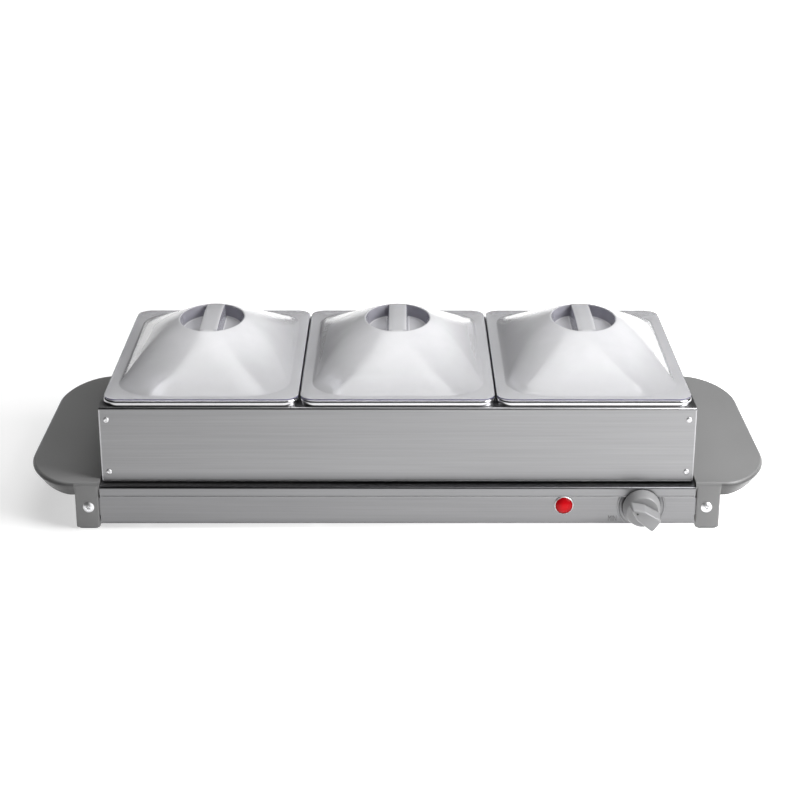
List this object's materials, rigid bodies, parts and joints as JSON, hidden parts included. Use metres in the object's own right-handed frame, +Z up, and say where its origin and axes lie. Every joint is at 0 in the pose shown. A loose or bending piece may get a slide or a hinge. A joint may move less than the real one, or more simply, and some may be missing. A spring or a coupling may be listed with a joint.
{
  "type": "electric buffet server",
  "caption": "Electric buffet warmer: steel warming base with moulded carrying ends, lift-off tray frame, stainless food pans and clear domed lids, with a thermostat knob and a lamp.",
  "frame": {"origin": "on the table, under the middle of the whole footprint with the knob and the cord gland counted in", "axes": "+X along the length to the user's right, +Y to the back, +Z up; the knob and lamp face -Y"},
  "size_m": [0.652, 0.306, 0.1504],
  "materials": {
    "brushed_sheet": "fine horizontal brushing, satin",
    "galvanised_sheet": "zinc coated, dull",
    "grey_moulding": "fine textured mid grey moulding",
    "plated_screw": "bright plated",
    "plain_steel": "plain bright steel",
    "foot_rubber": "matte",
    "element_sheath": "heat-darkened sheath",
    "shield_aluminium": "dull mill finish",
    "ivory_plastic": "semi-gloss ivory",
    "brass_fitting": "plain",
    "dial_steel": "satin",
    "red_lens": "clear red, lit from behind",
    "neon_glass": "clear glass envelope",
    "lead_insulation": "silicone sleeved leads",
    "black_plastic": "matte black",
    "polished_pan": "polished stainless",
    "clear_lid": "clear polycarbonate with light steam haze",
    "knob_plastic": "satin silver-grey moulding"
  },
  "bodies": {
    "base": {"warming_plate": "brushed_sheet", "front_panel": "brushed_sheet", "rear_panel": "brushed_sheet", "bottom_cover": "galvanised_sheet", "bottom_screws": "plain_steel", "left_end_cap": "grey_moulding", "right_end_cap": "grey_moulding", "end_cap_screws": "plated_screw", "end_cap_nuts": "plain_steel", "foot_pads": "foot_rubber", "heating_element": "element_sheath", "element_clamps": "galvanised_sheet", "heat_shield": "shield_aluminium", "thermal_fuse": "ivory_plastic", "fuse_clip": "galvanised_sheet", "thermostat_body": "ivory_plastic", "thermostat_nut": "brass_fitting", "dial_plate": "dial_steel", "indicator_lens": "red_lens", "indicator_bezel": "plated_screw", "indicator_clip": "plain_steel", "neon_lamp": "neon_glass", "terminal_block": "ivory_plastic", "earth_stud": "brass_fitting", "wiring_leads": "lead_insulation", "cord_gland": "black_plastic"},
    "tray_frame": {"tray_frame": "brushed_sheet", "left_frame_end": "brushed_sheet", "right_frame_end": "brushed_sheet", "frame_rivets": "plain_steel"},
    "pan_left": {"pan_left": "polished_pan"},
    "pan_center": {"pan_center": "polished_pan"},
    "pan_right": {"pan_right": "polished_pan"},
    "lid_left": {"lid_left": "clear_lid"},
    "lid_center": {"lid_center": "clear_lid"},
    "lid_right": {"lid_right": "clear_lid"},
    "knob": {"knob": "knob_plastic", "thermostat_spindle": "brass_fitting"}
  },
  "joints": [
    {"name": "frame_lift", "type": "slide", "parent": "base", "child": "tray_frame", "axis": [0, 0, 1], "range_m": [0, 0.1]},
    {"name": "pan_left_lift", "type": "slide", "parent": "tray_frame", "child": "pan_left", "axis": [0, 0, 1], "range_m": [0, 0.12]},
    {"name": "lid_left_lift", "type": "slide", "parent": "pan_left", "child": "lid_left", "axis": [0, 0, 1], "range_m": [0, 0.06]},
    {"name": "pan_center_lift", "type": "slide", "parent": "tray_frame", "child": "pan_center", "axis": [0, 0, 1], "range_m": [0, 0.12]},
    {"name": "lid_center_lift", "type": "slide", "parent": "pan_center", "child": "lid_center", "axis": [0, 0, 1], "range_m": [0, 0.06]},
    {"name": "pan_right_lift", "type": "slide", "parent": "tray_frame", "child": "pan_right", "axis": [0, 0, 1], "range_m": [0, 0.12]},
    {"name": "lid_right_lift", "type": "slide", "parent": "pan_right", "child": "lid_right", "axis": [0, 0, 1], "range_m": [0, 0.06]},
    {"name": "knob_turn", "type": "hinge", "parent": "base", "child": "knob", "pos_m": [0.211, -0.125, 0.021], "axis": [0, 1, 0], "range_deg": [-80, 190]}
  ]
}
